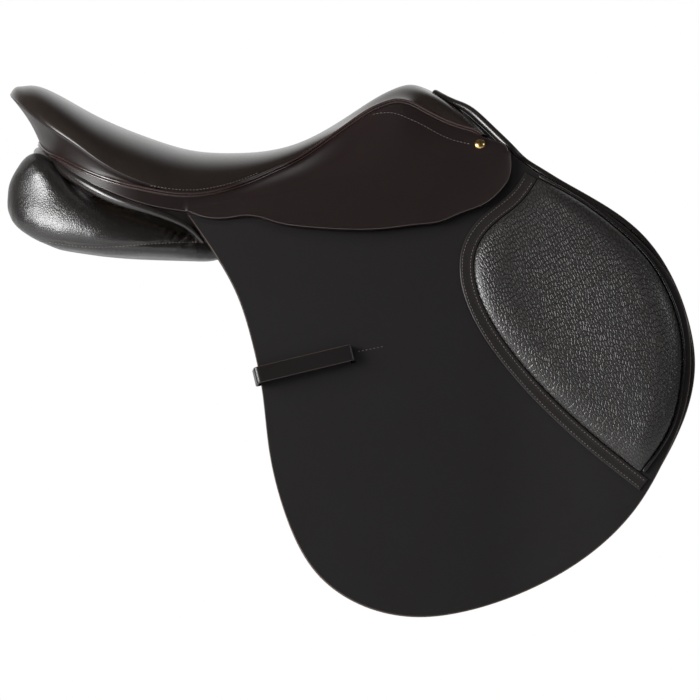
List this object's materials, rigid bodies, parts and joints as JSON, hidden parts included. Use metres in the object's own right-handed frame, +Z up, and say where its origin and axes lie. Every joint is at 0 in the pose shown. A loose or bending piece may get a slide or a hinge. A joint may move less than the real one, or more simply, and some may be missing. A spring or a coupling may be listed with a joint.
{
  "type": "english saddle",
  "caption": "Close-contact English jumping saddle in black-brown leather, with lifting flaps and skirts, padded knee inserts, panels, tree, stirrup bars and girth straps.",
  "frame": {"origin": "in the middle plane, under the seat's deepest point, at the height where the panels rest on the horse", "axes": "+X forward to the pommel, +Y to the horse's left, +Z up"},
  "size_m": [0.6337, 0.4028, 0.4908],
  "materials": {
    "seat_calf": "smooth waxed calf",
    "skirt_hide": "smooth",
    "flap_hide": "smooth, dull",
    "grained_calf": "coarse grain",
    "lining_leather": "soft, fine grain",
    "foam": "open-cell foam",
    "webbing": "woven",
    "laminated_beech": "bare",
    "plated_steel": "plated",
    "spring_steel": "blued",
    "brass": "domed and polished"
  },
  "bodies": {
    "saddle": {"seat_cover": "seat_calf", "cantle_facing": "seat_calf", "seat_foam": "foam", "seat_webbing": "webbing", "girth_web_front": "webbing", "girth_web_rear": "webbing", "pommel_facing": "skirt_hide", "gullet_lining": "lining_leather", "tree_head": "laminated_beech", "tree_cantle": "laminated_beech", "head_plate": "plated_steel", "gullet_plate": "plated_steel", "seat_welt_left": "skirt_hide", "seat_welt_right": "skirt_hide", "skirt_top_left": "skirt_hide", "skirt_top_right": "skirt_hide", "flap_top_left": "flap_hide", "flap_top_right": "flap_hide", "panel_front_roll_left": "lining_leather", "panel_front_roll_right": "lining_leather", "panel_left": "lining_leather", "panel_right": "lining_leather", "panel_welt_left": "lining_leather", "panel_welt_right": "lining_leather", "tree_rail_left": "laminated_beech", "tree_rail_right": "laminated_beech", "tree_spring_left": "spring_steel", "tree_spring_right": "spring_steel", "stirrup_bar_left": "plated_steel", "stirrup_bar_right": "plated_steel", "catch_pin_left": "plated_steel", "catch_pin_right": "plated_steel", "sweat_flap_left": "lining_leather", "sweat_flap_right": "lining_leather", "saddle_nail_left": "brass", "saddle_nail_right": "brass"},
    "flap_left": {"flap_left": "flap_hide", "knee_insert_left": "grained_calf", "insert_band_left": "skirt_hide", "insert_piping_left": "skirt_hide", "stirrup_keeper_left": "skirt_hide"},
    "skirt_left": {"skirt_left": "skirt_hide"},
    "girth_strap_1_left": {"girth_strap_1_left": "flap_hide"},
    "girth_strap_2_left": {"girth_strap_2_left": "flap_hide"},
    "girth_strap_3_left": {"girth_strap_3_left": "flap_hide"},
    "safety_catch_left": {"safety_catch_left": "plated_steel"},
    "flap_right": {"flap_right": "flap_hide", "knee_insert_right": "grained_calf", "insert_band_right": "skirt_hide", "insert_piping_right": "skirt_hide", "stirrup_keeper_right": "skirt_hide"},
    "skirt_right": {"skirt_right": "skirt_hide"},
    "girth_strap_1_right": {"girth_strap_1_right": "flap_hide"},
    "girth_strap_2_right": {"girth_strap_2_right": "flap_hide"},
    "girth_strap_3_right": {"girth_strap_3_right": "flap_hide"},
    "safety_catch_right": {"safety_catch_right": "plated_steel"}
  },
  "joints": [
    {"name": "flap_lift_left", "type": "hinge", "parent": "saddle", "child": "flap_left", "pos_m": [0.10514, 0.10122, 0.07485], "axis": [0.9697, -0.1648, 0.1804], "range_deg": [0, 75]},
    {"name": "skirt_lift_left", "type": "hinge", "parent": "flap_left", "child": "skirt_left", "pos_m": [0.10514, 0.10122, 0.07485], "axis": [0.9697, -0.1648, 0.1804], "range_deg": [0, 70]},
    {"name": "strap_1_swing_left", "type": "hinge", "parent": "saddle", "child": "girth_strap_1_left", "pos_m": [0.04752, 0.10838, 0.04308], "axis": [-0.1288, -0.9527, -0.2754], "range_deg": [0, 8]},
    {"name": "strap_2_swing_left", "type": "hinge", "parent": "saddle", "child": "girth_strap_2_left", "pos_m": [0.07652, 0.10345, 0.04847], "axis": [-0.1288, -0.9527, -0.2754], "range_deg": [0, 8]},
    {"name": "strap_3_swing_left", "type": "hinge", "parent": "saddle", "child": "girth_strap_3_left", "pos_m": [0.10552, 0.09852, 0.05387], "axis": [-0.1288, -0.9527, -0.2754], "range_deg": [0, 8]},
    {"name": "catch_turn_left", "type": "hinge", "parent": "saddle", "child": "safety_catch_left", "pos_m": [0.13401, 0.10625, 0.05322], "axis": [0.0568, 0.8699, 0.4899], "range_deg": [0, 75]},
    {"name": "flap_lift_right", "type": "hinge", "parent": "saddle", "child": "flap_right", "pos_m": [0.10514, -0.10122, 0.07485], "axis": [-0.9697, -0.1648, -0.1804], "range_deg": [0, 75]},
    {"name": "skirt_lift_right", "type": "hinge", "parent": "flap_right", "child": "skirt_right", "pos_m": [0.10514, -0.10122, 0.07485], "axis": [-0.9697, -0.1648, -0.1804], "range_deg": [0, 70]},
    {"name": "strap_1_swing_right", "type": "hinge", "parent": "saddle", "child": "girth_strap_1_right", "pos_m": [0.04752, -0.10838, 0.04308], "axis": [0.1288, -0.9527, 0.2754], "range_deg": [0, 8]},
    {"name": "strap_2_swing_right", "type": "hinge", "parent": "saddle", "child": "girth_strap_2_right", "pos_m": [0.07652, -0.10345, 0.04847], "axis": [0.1288, -0.9527, 0.2754], "range_deg": [0, 8]},
    {"name": "strap_3_swing_right", "type": "hinge", "parent": "saddle", "child": "girth_strap_3_right", "pos_m": [0.10552, -0.09852, 0.05387], "axis": [0.1288, -0.9527, 0.2754], "range_deg": [0, 8]},
    {"name": "catch_turn_right", "type": "hinge", "parent": "saddle", "child": "safety_catch_right", "pos_m": [0.13401, -0.10625, 0.05322], "axis": [-0.0568, 0.8699, -0.4899], "range_deg": [0, 75]}
  ],
  "couplings": [
    {"joint": "strap_2_swing_left", "follows": "strap_1_swing_left", "ratio": 1},
    {"joint": "strap_3_swing_left", "follows": "strap_1_swing_left", "ratio": 1},
    {"joint": "strap_2_swing_right", "follows": "strap_1_swing_right", "ratio": 1},
    {"joint": "strap_3_swing_right", "follows": "strap_1_swing_right", "ratio": 1}
  ]
}
